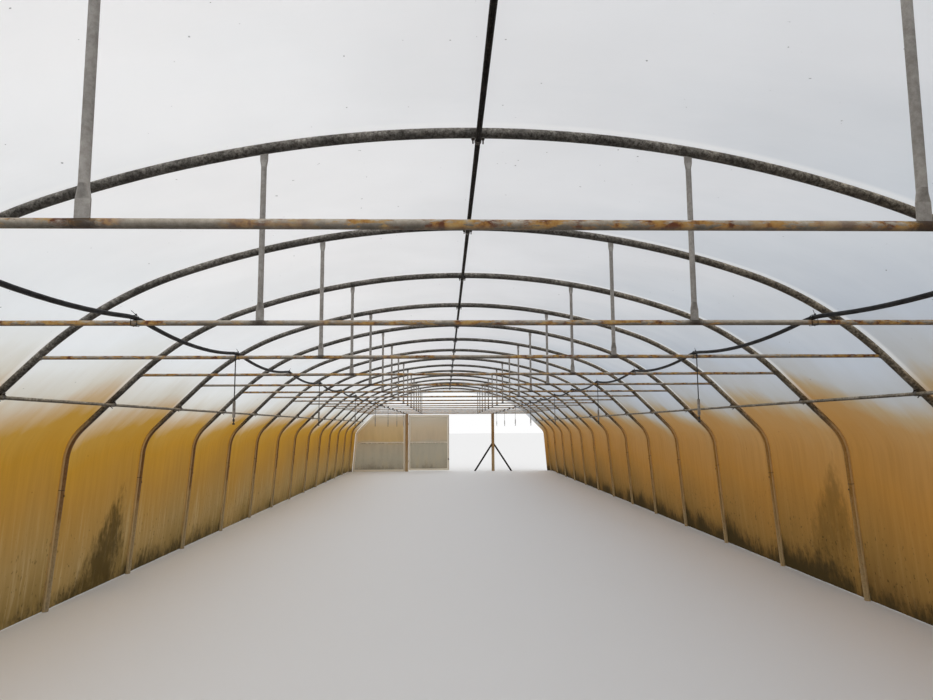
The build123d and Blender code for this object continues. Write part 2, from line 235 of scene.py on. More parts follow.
def minus(tree, first, second):
    return maths(tree, "SUBTRACT", first, second)


def without_sign(tree, value):
    return maths(tree, "ABSOLUTE", value)


def axis_value(tree, axis):
    """The object position along an axis, in metres."""
    coords = tree.nodes.new("ShaderNodeTexCoord")
    split = node(tree, "ShaderNodeSeparateXYZ", Vector=coords.outputs["Object"])
    return split.outputs[axis]


def facing(tree, axis):
    """How far the surface looks along an axis, from -1 to 1."""
    geometry = tree.nodes.new("ShaderNodeNewGeometry")
    split = node(tree, "ShaderNodeSeparateXYZ", Vector=geometry.outputs["Normal"])
    return split.outputs[axis]


def step_between(tree, value, low, high):
    """0 under low, 1 over high and smooth between them."""
    made = node(tree, "ShaderNodeMapRange", Value=value)
    made.interpolation_type = "SMOOTHSTEP"
    made.inputs["From Min"].default_value = low
    made.inputs["From Max"].default_value = high
    return made.outputs["Result"]


def bump(tree, shader, height, strength, distance):
    """A bump on a shader, and the normal that it makes."""
    made = node(tree, "ShaderNodeBump", Height=height, Strength=strength, Distance=distance)
    tree.links.new(made.outputs["Normal"], shader.inputs["Normal"])
    return made.outputs["Normal"]


def tube_metal(name, light, dark, speck, grime=0.55, shine=0.3, stained_and_lit_legs=False, rusty_bar=False):
    """Weathered tube: mottled zinc with dirt and pale specks, painted shade underneath and painted light on
    top, and stained legs or rust where asked.
    """
    material, tree, shader = new_material(name)
    mottle = noise(tree, 62.0, 8.0, rough=0.75)
    colour = ramp(tree, mottle, (0.40, dark), (0.52, light), (0.68, speck))
    dirt = ramp(tree, noise(tree, 7.0, 5.0), (0.40, grime), (0.62, 1.0))
    # Painted shade under the tubes and painted light on their tops.
    colour = tinted(tree, tinted(tree, colour, dirt), painted_top_light_and_under_shade(tree))
    if rusty_bar:
        colour = rust_and_welds(tree, colour)
    if stained_and_lit_legs:
        colour = leg_stain_and_light(tree, colour, mottle)
    tree.links.new(colour, shader.inputs["Base Color"])
    tree.links.new(ramp(tree, mottle, (0.35, 0.75), (0.65, 0.50)), shader.inputs["Roughness"])
    shader.inputs["Specular IOR Level"].default_value = shine
    bump(tree, shader, noise(tree, 120.0, 4.0), 0.25, 0.0015)
    return material


def painted_top_light_and_under_shade(tree):
    """A factor by where a surface looks: painted shade where it looks down, and painted light where it
    looks up.
    """
    up = step_between(tree, facing(tree, "Z"), -1.0, 0.8)
    return ramp(tree, up, (0.0, 0.30), (0.35, 0.58), (0.62, 0.95), (1.0, 1.45))


def leg_stain_and_light(tree, colour, mottle):
    """Brown stain on the legs, with painted light: a painted highlight on the edge towards the film, and
    the hoops of the right half painted paler.
    """
    height = axis_value(tree, "Z")
    right = step_between(tree, axis_value(tree, "X"), 0.5, 2.5)
    # Painted light: the right half of the hoops is tinted paler.
    colour = mix(tree, right, colour, tinted(tree, colour, PAINTED_RIGHT_LIGHT_TINT))
    stain_and_light = mix(tree, right, tones(tree, height, LEFT_LEG_TONES), tones(tree, height, RIGHT_LEG_TONES))
    stain_and_light = tinted(tree, stain_and_light, ramp(tree, mottle, (0.35, 0.82), (0.65, 1.25)))
    side = minus(tree, times(tree, right, 2.0), 1.0)
    # Painted highlight on the edge of each leg that faces the film.
    outer_edge_highlight = step_between(tree, times(tree, facing(tree, "X"), side), -0.42, -0.12)
    stain_and_light = mix(tree, times(tree, outer_edge_highlight, 0.8), stain_and_light, PAINTED_LEG_EDGE_HIGHLIGHT)
    streaks = ramp(tree, noise(tree, 9.0, 4.0, stretch=(1, 1, 0.25)), (0.35, 0.80), (0.65, 1.0))
    low = step_between(tree, height, 1.66, 1.36)
    return mix(tree, tinted(tree, low, streaks), colour, stain_and_light)


def rust_and_welds(tree, colour):
    """Rust flecks along the upper half of the tie bars, and burnt zones where the hangers are welded on."""
    upper = step_between(tree, axis_value(tree, "Z"), BAR_Z - 0.016, BAR_Z - 0.002)
    reach = ramp(tree, noise(tree, 2.4, 3.0, stretch=(1, 1.7, 1)), (0.36, 0.0), (0.47, 1.0))
    flecks = ramp(tree, noise(tree, 42.0, 6.0, stretch=(0.32, 1, 1), rough=0.7), (0.46, 0.0), (0.54, 1.0))
    amount = tinted(tree, tinted(tree, reach, flecks), upper)
    colour = mix(tree, amount, colour, ramp(tree, noise(tree, 30.0, 4.0), *RUST))
    from_weld = minus(tree, without_sign(tree, axis_value(tree, "X")), HANGER_X)
    ragged = times(tree, noise(tree, 75.0, 7.0, rough=0.75), 0.085)
    from_weld = plus(tree, without_sign(tree, from_weld), ragged)
    burnt = times(tree, step_between(tree, from_weld, 0.098, 0.052), 0.90)
    return mix(tree, burnt, colour, BURNT)


# Mould patches: middle y and z, half width and height in metres, and how far they lean along y
LEFT_PATCH = (-5.08, 0.24, 0.38, 0.68, 0.34)
RIGHT_PATCH = (-5.62, 0.66, 0.46, 0.56, -0.20)


def patch(tree, middle_y, middle_z, half_y, half_z, lean):
    """A ragged, leaning patch round a place on a wall, wider at its foot: 1 at its middle, 0 outside."""
    height = axis_value(tree, "Z")
    taper = minus(tree, 1.35, height)
    above = minus(tree, height, middle_z)
    across = minus(tree, axis_value(tree, "Y"), middle_y)
    across = minus(tree, across, times(tree, above, lean))
    across = maths(tree, "DIVIDE", across, times(tree, taper, half_y))
    above = maths(tree, "DIVIDE", above, half_z)
    distance = plus(tree, maths(tree, "POWER", across, 2.0), maths(tree, "POWER", above, 2.0))
    edge = times(tree, noise(tree, 13.0, 8.0, stretch=(1, 1, 0.5), rough=0.72), 3.2)
    return step_between(tree, plus(tree, distance, edge), 2.9, 1.6)


# Colours of the film and the legs by height: heights in metres and colours, from the ground up
LEFT_TONES = (
    (0.00, (0.21, 0.137, 0.046)), (0.35, (0.315, 0.203, 0.073)), (0.90, (0.39, 0.209, 0.042)),
    (1.28, (0.47, 0.245, 0.030)), (1.48, (0.49, 0.28, 0.050)), (1.62, (0.59, 0.44, 0.27)),
    (1.76, (0.72, 0.69, 0.61)), (1.95, (0.85, 0.87, 0.86)), (2.15, (0.90, 0.935, 0.965)),
    (2.80, (0.98, 0.98, 0.99)),
)
# Right half of the cover: stains with their own tints, and painted shade that makes the upper film greyer
# and darker than on the left.
RIGHT_STAIN_AND_SHADE_TONES = (
    (0.00, (0.165, 0.092, 0.027)), (0.35, (0.245, 0.134, 0.036)), (0.90, (0.37, 0.181, 0.041)),
    (1.30, (0.405, 0.215, 0.066)), (1.52, (0.41, 0.24, 0.092)), (1.66, (0.43, 0.33, 0.20)),
    (1.80, (0.47, 0.48, 0.48)), (2.10, (0.54, 0.59, 0.66)), (2.45, (0.66, 0.70, 0.75)),
    (2.80, (0.78, 0.80, 0.835)),
)
LEAF_TONES = (
    (0.00, (0.37, 0.33, 0.25)), (0.50, (0.44, 0.40, 0.31)), (0.98, (0.45, 0.41, 0.32)),
    (1.12, (0.56, 0.45, 0.31)), (1.50, (0.60, 0.49, 0.34)), (1.90, (0.60, 0.54, 0.44)),
)
SIDE_TONES = (
    (0.00, (0.37, 0.33, 0.25)), (0.50, (0.45, 0.41, 0.315)), (0.98, (0.47, 0.40, 0.29)),
    (1.12, (0.57, 0.40, 0.19)), (1.55, (0.60, 0.44, 0.24)), (1.90, (0.62, 0.54, 0.42)),
)
LEFT_LEG_TONES = (
    (0.00, (0.34, 0.270, 0.155)), (0.55, (0.32, 0.215, 0.090)), (0.72, (0.30, 0.190, 0.070)),
    (0.76, (0.21, 0.108, 0.026)), (1.10, (0.18, 0.076, 0.009)), (1.60, (0.13, 0.060, 0.014)),
)
# Right legs: their stain, partly painted light that makes them paler than the left legs.
RIGHT_LEG_TONES = (
    (0.00, (0.44, 0.320, 0.160)), (0.45, (0.32, 0.200, 0.070)), (1.00, (0.34, 0.165, 0.018)),
    (1.60, (0.32, 0.165, 0.035)),
)
TONES_TOP = 3.0


def tones(tree, level, stops):
    """Colours by height in metres."""
    places = [(height / TONES_TOP, colour) for height, colour in stops]
    return ramp(tree, maths(tree, "DIVIDE", level, TONES_TOP, clamp=True), *places)


def swing(tree, amount, value):
    """A noise from 0 to 1 as a swing to both sides of zero."""
    return times(tree, minus(tree, value, 0.5), amount)


def from_near_end(tree):
    """How far a point is from the near end hoop, in metres."""
    return plus(tree, axis_value(tree, "Y"), END)


def film_tones(tree, panel, right):
    """Film colours by height, along a line that wanders and, on the cover, climbs across each bay; on the
    cover's right half the upper film is painted greyer and darker with painted shade.
    """
    broad = swing(tree, 0.50, noise(tree, 0.55, 3.0))
    streaks = swing(tree, 0.20, noise(tree, 5.0, 5.0, stretch=(0.3, 1.0, 0.10), rough=0.6))
    level = plus(tree, axis_value(tree, "Z"), plus(tree, broad, streaks))
    if panel:
        from_middle = without_sign(tree, axis_value(tree, "X"))
        beside_post = step_between(tree, from_middle, POST_X, POST_X + 0.06)
        return mix(tree, beside_post, tones(tree, level, LEAF_TONES), tones(tree, level, SIDE_TONES))
    share = maths(tree, "FRACT", maths(tree, "DIVIDE", from_near_end(tree), BAY))
    climb = minus(tree, step_between(tree, share, 0.0, 1.0), 0.5)
    amount = times(tree, noise(tree, 0.30, 1.0, stretch=(0.2, 1, 0.2)), 0.50)
    level = minus(tree, level, times(tree, climb, amount))
    return mix(tree, right, tones(tree, level, LEFT_TONES), tones(tree, level, RIGHT_STAIN_AND_SHADE_TONES))


def dust_and_specks(tree, colour, fine_streaks, right):
    """Slow clouds, faint streaks, dusty streaks low on the walls, and small specks."""
    height = axis_value(tree, "Z")
    colour = tinted(tree, colour, ramp(tree, noise(tree, 0.9, 3.0), (0.35, 0.94), (0.65, 1.0)))
    walls = step_between(tree, height, 1.65, 1.25)
    streaked = tinted(tree, colour, ramp(tree, fine_streaks, (0.34, 0.93), (0.62, 1.04)))
    colour = mix(tree, walls, colour, streaked)
    low_walls = step_between(tree, height, 1.0, 0.4)
    dusty = times(tree, step_between(tree, fine_streaks, 0.50, 0.72), low_walls)
    dusty = times(tree, dusty, minus(tree, 0.30, times(tree, right, 0.25)))
    colour = mix(tree, dusty, colour, DUST_STREAK)
    specks = ramp(tree, noise(tree, 40.0, 2.0, rough=0.4), (0.200, 0.35), (0.222, 1.0))
    return tinted(tree, colour, specks)


def foot_mould(tree, colour, panel, right):
    """Mould at the foot, higher on the right, with two patches, and spots over it; on the cover the dark
    foot band reaches higher beside the hoops, and a painted sheen line lies beside the hoops high on the
    walls.
    """
    height = axis_value(tree, "Z")
    coarse = swing(tree, 0.80, noise(tree, 1.3, 3.0, stretch=(1, 1, 0.6)))
    ragged = swing(tree, 0.55, noise(tree, 16.0, 7.0, stretch=(1, 1, 0.5), rough=0.72))
    foot_level = plus(tree, plus(tree, height, coarse), ragged)
    if panel:
        mould = times(tree, step_between(tree, foot_level, 0.22, -0.02), 0.35)
    else:
        from_hoop = maths(tree, "PINGPONG", from_near_end(tree), BAY / 2)
        # Painted sheen: a pale line on the film along each hoop, high on the walls.
        hoop_sheen_line = times(tree, step_between(tree, from_hoop, 0.075, 0.030), 0.45)
        hoop_sheen_line = times(tree, hoop_sheen_line, step_between(tree, height, 1.6, 2.0))
        colour = mix(tree, hoop_sheen_line, colour, PAINTED_SHEEN_LINE)
        # The dark foot band reaches higher beside the hoops.
        beside_hoop = step_between(tree, from_hoop, 0.16, 0.0)
        foot_level = minus(tree, foot_level, times(tree, beside_hoop, 0.10))
        foot_level = minus(tree, foot_level, times(tree, right, 0.11))
        mould = times(tree, step_between(tree, foot_level, 0.15, -0.13), 0.88)
        left_patch = times(tree, patch(tree, *LEFT_PATCH), minus(tree, 1.0, right))
        colour = mix(tree, times(tree, left_patch, 0.84), colour, LEFT_MOULD)
        right_patch = times(tree, patch(tree, *RIGHT_PATCH), right)
        colour = mix(tree, times(tree, right_patch, 0.52), colour, OLIVE_MOULD)
    colour = mix(tree, mould, colour, MOULD)
    spots = step_between(tree, noise(tree, 34.0, 3.0, stretch=(1, 1, 0.7), rough=0.5), 0.645, 0.685)
    spots = times(tree, spots, step_between(tree, foot_level, 0.85, 0.25))
    return mix(tree, times(tree, spots, 0.25 if panel else 0.65), colour, MOULD)


def film_material(name, panel=False, through=0.74, pale=0.0):
    """Translucent film: clean at the top, algae at the eaves, mould at the ground, faint streaks, a painted
    sheen line beside the hoops and painted shade on the right half of the cover.
    """
    material, tree, shader = new_material(name)
    right = 0.0 if panel else step_between(tree, axis_value(tree, "X"), -1.7, 1.7)
    fine_streaks = noise(tree, 22.0, 4.0, stretch=(0.3, 1.0, 0.06), rough=0.6)
    colour = film_tones(tree, panel, right)
    colour = dust_and_specks(tree, colour, fine_streaks, right)
    colour = foot_mould(tree, colour, panel, right)
    if pale:
        colour = mix(tree, pale, colour, WRAP_PALE)
    tree.links.new(colour, shader.inputs["Base Color"])
    shader.inputs["Roughness"].default_value = 0.5
    shader.inputs["Specular IOR Level"].default_value = 0.06
    ripple = noise(tree, 6.0, 3.0, stretch=(0.5, 1.0, 0.15))
    relief = plus(tree, ripple, times(tree, fine_streaks, 0.3))
    normal = bump(tree, shader, relief, 0.3, 0.01)
    glow = node(tree, "ShaderNodeBsdfTranslucent", Color=colour, Normal=normal)
    both = node(tree, "ShaderNodeMixShader", _0=through, _1=shader.outputs["BSDF"], _2=glow.outputs["BSDF"])
    output = tree.nodes["Material Output"]
    tree.links.new(both.outputs["Shader"], output.inputs["Surface"])
    return material


def timber_material(name, light, dark, stretch):
    """Stained timber with grain along one axis, greyer at the top and paler at the foot."""
    material, tree, shader = new_material(name)
    grain = noise(tree, 30.0, 6.0, stretch=stretch, rough=0.6)
    colour = ramp(tree, grain, (0.30, dark), (0.62, light))
    height = axis_value(tree, "Z")
    weathered = step_between(tree, height, 1.55, 1.85)
    colour = mix(tree, times(tree, weathered, 0.35), colour, GREY_TIMBER)
    pale = step_between(tree, height, 0.95, 0.55)
    colour = mix(tree, times(tree, pale, 0.55), colour, PALE_TIMBER)
    tree.links.new(colour, shader.inputs["Base Color"])
    shader.inputs["Roughness"].default_value = 0.8
    bump(tree, shader, grain, 0.5, 0.003)
    return material


def plain_material(name, colour, roughness, variation=0.35, scale=30.0):
    """Moulded plastic or dark painted steel, with a little dust and unevenness."""
    material, tree, shader = new_material(name)
    dust = noise(tree, scale, 5.0)
    worn = tuple(min(1.0, c * (1 + variation) + 0.03 * variation) for c in colour)
    deep = tuple(c * (1 - variation) for c in colour)
    tree.links.new(ramp(tree, dust, (0.35, deep), (0.65, worn)), shader.inputs["Base Color"])
    tree.links.new(ramp(tree, dust, (0.3, roughness + 0.15), (0.7, roughness)), shader.inputs["Roughness"])
    shader.inputs["Specular IOR Level"].default_value = 0.2
    bump(tree, shader, noise(tree, scale * 5, 3.0), 0.15, 0.001)
    return material


hoop_steel = tube_metal("hoop_steel", (0.20, 0.185, 0.162), (0.062, 0.054, 0.045), (0.44, 0.42, 0.38),
                        stained_and_lit_legs=True)
bar_steel = tube_metal("bar_steel", (0.42, 0.375, 0.31), (0.35, 0.31, 0.25), (0.52, 0.47, 0.40),
                       grime=0.80, rusty_bar=True)
hanger_steel = tube_metal("hanger_steel", (0.40, 0.38, 0.355), (0.33, 0.31, 0.285), (0.47, 0.45, 0.42),
                          grime=0.80)
side_tube_steel = tube_metal("side_tube_steel", (0.36, 0.32, 0.25), (0.20, 0.16, 0.11), (0.52, 0.47, 0.39))
ridge_steel = tube_metal("ridge_steel", (0.022, 0.015, 0.011), (0.009, 0.006, 0.004), (0.085, 0.068, 0.054),
                         shine=0.08)
clamp_steel = tube_metal("clamp_steel", (0.26, 0.24, 0.21), (0.12, 0.10, 0.08), (0.42, 0.40, 0.37))
cover_film = film_material("cover_film")
panel_film = film_material("panel_film", panel=True, through=0.35)
black_plastic = plain_material("black_plastic", (0.006, 0.006, 0.007), 0.5, variation=0.15)
dark_steel = plain_material("dark_steel", (0.035, 0.026, 0.020), 0.65)
post_timber = timber_material("post_timber", (0.44, 0.26, 0.095), (0.22, 0.11, 0.035), (1, 1, 0.06))
edge_timber = timber_material("edge_timber", (0.20, 0.095, 0.028), (0.08, 0.035, 0.012), (1, 1, 0.06))
brace_steel = tube_metal("brace_steel", (0.020, 0.016, 0.013), (0.009, 0.007, 0.006), (0.06, 0.05, 0.042),
                         shine=0.08)
weld_steel = tube_metal("weld_steel", (0.20, 0.17, 0.14), (0.10, 0.08, 0.06), (0.34, 0.31, 0.27))
wrapped_rail = film_material("wrapped_rail", panel=True, through=0.05, pale=0.75)
margin_film = film_material("margin_film", panel=True, through=0.05, pale=0.92)


def drop_material():
    """Sprinkler drop: dark tube, beige-grey weight, then black bulb and spray head."""
    material, tree, shader = new_material("drop_plastic")
    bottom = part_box("sprinkler_drops")[0].z
    height = axis_value(tree, "Z")
    over_bulb = step_between(tree, height, bottom + 0.045, bottom + 0.047)
    under_tube = step_between(tree, height, bottom + 0.153, bottom + 0.151)
    in_weight = tinted(tree, over_bulb, under_tube)
    grime = noise(tree, 45.0, 5.0)
    weight = ramp(tree, grime, (0.35, (0.15, 0.135, 0.115)), (0.65, (0.33, 0.30, 0.26)))
    black = ramp(tree, grime, (0.35, (0.012, 0.012, 0.013)), (0.65, (0.035, 0.034, 0.034)))
    tree.links.new(mix(tree, in_weight, black, weight), shader.inputs["Base Color"])
    shader.inputs["Roughness"].default_value = 0.5
    bump(tree, shader, grime, 0.1, 0.001)
    return material


drop_plastic = drop_material()


# Finish of each CAD piece
FINISHES = (
    ("end_hoop", hoop_steel),
    ("hoops_", hoop_steel),
    ("ground_tubes", hoop_steel),
    ("tie_bars", bar_steel),
    ("hangers", hanger_steel),
    ("ridge_purlin", ridge_steel),
    ("side_purlin", side_tube_steel),
    ("clamps", clamp_steel),
    ("water_pipe", black_plastic),
    ("sprinkler_drops", drop_plastic),
    ("film", cover_film),
    ("post_braces", brace_steel),
    ("post_", post_timber),
    ("_frame", wrapped_rail),
    ("hinge", dark_steel),
)
for name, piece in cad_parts.items():
    finish = next(material for word, material in FINISHES if word in name)
    piece.data.materials.clear()
    piece.data.materials.append(finish)


# Mesh helpers

def add_piece(name, points, faces, material, body="tunnel", smooth=True):
    """A mesh piece that rides on a body."""
    mesh = bpy.data.meshes.new(name)
    mesh.from_pydata([tuple(p) for p in points], [], faces)
    mesh.materials.append(material)
    mesh.validate()
    if smooth:
        mesh.shade_smooth()
    piece = bpy.data.objects.new(name, mesh)
    bpy.context.collection.objects.link(piece)
    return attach(piece, body)


def grid_faces(rows, columns):
    """Faces of a grid of points that is stored row by row."""
    return [
        (r * columns + c, r * columns + c + 1, (r + 1) * columns + c + 1, (r + 1) * columns + c)
        for r in range(rows - 1)
        for c in range(columns - 1)
    ]


class Parts:
    """Many small closed pieces gathered into one mesh."""

    def __init__(self):
        self.points, self.faces = [], []

    def add(self, points, faces):
        first = len(self.points)
        self.points += [Vector(p) for p in points]
        self.faces += [tuple(first + i for i in face) for face in faces]

    def rod(self, start, end, radius, sides=10, end_radius=None):
        """A closed round or many-sided rod between two points."""
        start, end = Vector(start), Vector(end)
        axis = (end - start).normalized()
        side = axis.orthogonal().normalized()
        other = axis.cross(side)
        radii = (radius, radius if end_radius is None else end_radius)
        ring = [
            centre + r * (math.cos(turn) * side + math.sin(turn) * other)
            for centre, r in zip((start, end), radii)
            for turn in [2 * math.pi * i / sides for i in range(sides)]
        ]
        walls = [(i, (i + 1) % sides, sides + (i + 1) % sides, sides + i) for i in range(sides)]
        self.add(ring, walls + [tuple(range(sides))[::-1], tuple(range(sides, 2 * sides))])

    def box(self, low, high):
        corners = [
            (x, y, z)
            for z in (low[2], high[2])
            for y in (low[1], high[1])
            for x in (low[0], high[0])
        ]
        floor_and_top = [(0, 2, 3, 1), (4, 5, 7, 6)]
        walls = [(0, 1, 5, 4), (2, 6, 7, 3), (0, 4, 6, 2), (1, 3, 7, 5)]
        self.add(corners, floor_and_top + walls)

    def cord(self, path, radius, sides=6):
        """A run of rods along a path of points."""
        for start, end in zip(path[:-1], path[1:]):
            self.rod(start, end, radius, sides)

    def place(self, sign, y=0.0):
        """Move the points along y, then turn them to the far end (1) or the near end (-1)."""
        self.points = [Vector((sign * p.x, sign * (y + p.y), p.z)) for p in self.points]

    def piece(self, name, material, body="tunnel", smooth=False):
        """One mesh piece of all the parts."""
        return add_piece(name, self.points, self.faces, material, body, smooth)


# The two ends: a name, the sign of its x and y against the far end, and its door leaf's body
ENDS = (("far", 1, "far_door_leaf"), ("near", -1, "near_door_leaf"))


# Film cover: one sheet over the hoops, drawn in a little between them and folded in round the end hoops
COVER_OFFSET = HOOP_RADIUS + 0.0018
BAY_STEPS = 14
SAG = 0.010
EXTRA_WALL_SAG = 0.013
BROAD_WRINKLE = 0.0035
FINE_WRINKLE = 0.0012
cover_line = whole_line(COVER_OFFSET, 0.06)

# Fold round an end hoop: the offset from the cover's line and the distance past the hoop's middle
fold = [
    (0.0, 0.020), (-0.0005, 0.050), (-0.008, 0.064), (-0.024, 0.066), (-0.040, 0.058),
    (-0.0502, 0.040), (-0.0520, 0.0235), (-0.0750, 0.0215), (-0.1100, 0.0212), (-0.1500, 0.0205),
]

# Rows across the tunnel: y, the offset from the cover's line and the share of the way to the next hoop
inner_rows = [(-END + BAY * i / BAY_STEPS, i % BAY_STEPS / BAY_STEPS) for i in range(BAYS * BAY_STEPS + 1)]
cover_rows = [(-END - y, offset, 0.0) for offset, y in reversed(fold)]
cover_rows += [(y, 0.0, share) for y, share in inner_rows]
cover_rows += [(END + y, offset, 0.0) for offset, y in fold]


def sag_depth(height):
    """How far the film is drawn in midway between two hoops, by height."""
    wall = min(1.0, max(0.0, (1.6 - height) / 0.5))
    foot = min(1.0, height / 0.35)
    return (SAG + EXTRA_WALL_SAG * wall) * foot


bay_pull = [draw.uniform(0.75, 1.25) for _ in range(BAYS + 1)]
cover_points = []
for y, offset, share in cover_rows:
    pull = bay_pull[min(BAYS, max(0, int((y + END) / BAY)))]
    for x, z, nx, nz in cover_line:
        depth = -offset
        if share:
            depth += sag_depth(z) * pull * math.sin(math.pi * share) ** 0.8
            broad = noise_at(Vector((x * 0.9, y * 2.2, z * 1.3)))
            depth += BROAD_WRINKLE * math.sin(math.pi * share) * broad
            depth += FINE_WRINKLE * noise_at(Vector((x * 5.0 + 9, y * 7.0, z * 3.0)))
        cover_points.append((x - nx * depth, y, max(0.0, z - nz * depth)))
cover = add_piece("film_cover", cover_points, grid_faces(len(cover_rows), len(cover_line)), cover_film)
strips = [
    f"film_{part}_{side}"
    for part in ("roof", "haunch", "slope", "eave", "side")
    for side in ("left", "right")
]
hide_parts(*strips)


# Film of the end panels: a sheet on the outer face, folded round the rails to the inner face
PANEL_DEPTH = 0.025
FILM = 0.002
BORDER = 0.068
BORDER_LIFT = 0.0015
SKIN = 0.001
BILLOW = 0.004
PANEL_ROWS = 32
LEAF_COLUMNS = 24
SIDE_COLUMNS = 30
EDGE_STEPS = 40
MID_RAIL_UNDERSIDE = 0.972
RAIL_LINE_STEPS = 36
RAIL_LINE_END = 0.05
CATCH_HEIGHT = 0.410
CATCH_Y = -0.026
CATCH_RADIUS = 0.005
fine_line = whole_line(0.0, 0.02)


def hoop_x(height, offset):
    """Half width of the hoop line at a height, moved outwards by an offset."""
    right = fine_line[fine_line[:, 0] > 0.5]
    order = np.argsort(right[:, 1])
    moved_x = right[order, 0] + offset * right[order, 2]
    moved_z = right[order, 1] + offset * right[order, 3]
    return float(np.interp(height, moved_z, moved_x))


def panel_grid(left_edge, right_edge, low, high, columns):
    """Grid points (x, z) between two edges that may change with height."""
    grid = []
    for r in range(PANEL_ROWS + 1):
        z = low + (high - low) * r / PANEL_ROWS
        left, right = left_edge(z), right_edge(z)
        grid += [(left + (right - left) * c / columns, z) for c in range(columns + 1)]
    return grid


def panel_sheet(name, body, sign, grid, columns, outer_y, seed):
    """The film on a panel's outer face, with a slight billow inside its rails."""
    low, high = grid[0][1], grid[-1][1]
    points = []
    for index, (x, z) in enumerate(grid):
        u = index % (columns + 1) / columns
        v = (z - low) / (high - low)
        billow = (max(0.0, math.sin(math.pi * u)) * max(0.0, math.sin(2 * math.pi * v)) ** 2) ** 0.6
        depth = SKIN + billow * (BILLOW + BILLOW * noise_at(Vector((x * 3, seed, z * 3))))
        points.append((sign * x, sign * (outer_y - depth), z))
    return add_piece(name, points, grid_faces(PANEL_ROWS + 1, columns + 1), panel_film, body)


def border(name, body, sign, outer, inner, inner_y):
    """The film's margin on a panel's inner face, as a band between two outlines."""
    count = len(outer)
    points = [(sign * x, sign * (inner_y - BORDER_LIFT), z) for x, z in outer + inner]
    faces = [(i, (i + 1) % count, count + (i + 1) % count, count + i) for i in range(count)]
    return add_piece(name, points, faces, margin_film, body, smooth=False)


for end, sign, leaf_body in ENDS:
    leaf_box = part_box(f"{end}_door_film")
    x_low, x_high = sorted((sign * leaf_box[0].x, sign * leaf_box[1].x))
    z_low, z_high = leaf_box[0].z, leaf_box[1].z
    outer_y = max(abs(leaf_box[0].y), abs(leaf_box[1].y))
    inner_y = outer_y - FILM - PANEL_DEPTH
    leaf_grid = panel_grid(lambda z: x_low, lambda z: x_high, z_low, z_high, LEAF_COLUMNS)
    leaf = panel_sheet(f"{end}_leaf_film", leaf_body, sign, leaf_grid, LEAF_COLUMNS, outer_y, 3.0 * sign)
    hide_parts(f"{end}_door_film")
    outline = [(x_low, z_low), (x_high, z_low), (x_high, z_high), (x_low, z_high)]
    inside = [(x_low + BORDER, z_low + BORDER), (x_high - BORDER, z_low + BORDER),
              (x_high - BORDER, z_high - BORDER), (x_low + BORDER, z_high - BORDER)]
    margin = border(f"{end}_leaf_margin", leaf_body, sign, outline, inside, inner_y)

    side_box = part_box(f"{end}_side_panel_film")
    post_side = -min(abs(side_box[0].x), abs(side_box[1].x))
    top = side_box[1].z
    edge = -HOOP_RADIUS - HOOP_GAP
    side_grid = panel_grid(lambda z: -hoop_x(z, edge), lambda z: post_side, 0.0, top, SIDE_COLUMNS)
    side = panel_sheet(f"{end}_side_film", "tunnel", sign, side_grid, SIDE_COLUMNS, outer_y, 5.0 * sign)
    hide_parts(f"{end}_side_panel_film")
    heights = [top * i / EDGE_STEPS for i in range(EDGE_STEPS + 1)]
    inner_heights = [BORDER + (top - 2 * BORDER) * i / EDGE_STEPS for i in range(EDGE_STEPS + 1)]
    outline = [(-hoop_x(z, edge), z) for z in heights] + [(post_side, top), (post_side, 0.0)]
    inside = [(-hoop_x(z, edge - BORDER), z) for z in inner_heights]
    inside += [(post_side - BORDER, top - BORDER), (post_side - BORDER, BORDER)]
    margin = border(f"{end}_side_margin", "tunnel", sign, outline, inside, inner_y)

    # Dark line under each mid rail
    rail_lines = (
        (leaf_body, x_low + RAIL_LINE_END, x_high - RAIL_LINE_END),
        ("tunnel", -hoop_x(0.96, edge) + RAIL_LINE_END, post_side - RAIL_LINE_END),
    )
    for number, (body, line_start, line_end) in enumerate(rail_lines):
        dark_line = Parts()
        for i in range(RAIL_LINE_STEPS):
            if draw.random() < 0.75:
                left_x = line_start + (line_end - line_start) * i / RAIL_LINE_STEPS
                right_x = line_start + (line_end - line_start) * (i + 0.9) / RAIL_LINE_STEPS
                foot = MID_RAIL_UNDERSIDE - draw.uniform(0.004, 0.012)
                dark_line.box((left_x, inner_y - 0.001, foot), (right_x, inner_y, MID_RAIL_UNDERSIDE))
        dark_line.place(sign)
        dark_line.piece(f"{end}_rail_line_{number}", edge_timber, body)

    # Brown edge strip and catch on the free edge of the leaf
    strip = Parts()
    strip.box((x_high - 0.014, -0.004, z_low + 0.01), (x_high - 0.002, 0.0, z_high - 0.01))
    strip.place(sign, inner_y - FILM)
    strip.piece(f"{end}_leaf_edge", edge_timber, leaf_body)
    catch = Parts()
    catch.box((x_high - 0.045, -0.008, CATCH_HEIGHT - 0.021), (x_high - 0.004, 0.0, CATCH_HEIGHT + 0.021))
    catch_bend = (x_high - 0.030, CATCH_Y, CATCH_HEIGHT)
    catch.rod(catch_bend, (x_high + 0.012, CATCH_Y, CATCH_HEIGHT), CATCH_RADIUS)
    catch.rod(catch_bend, (x_high - 0.030, -0.004, CATCH_HEIGHT), CATCH_RADIUS)
    catch.place(sign, inner_y - FILM)
    catch.piece(f"{end}_leaf_catch", dark_steel, leaf_body)


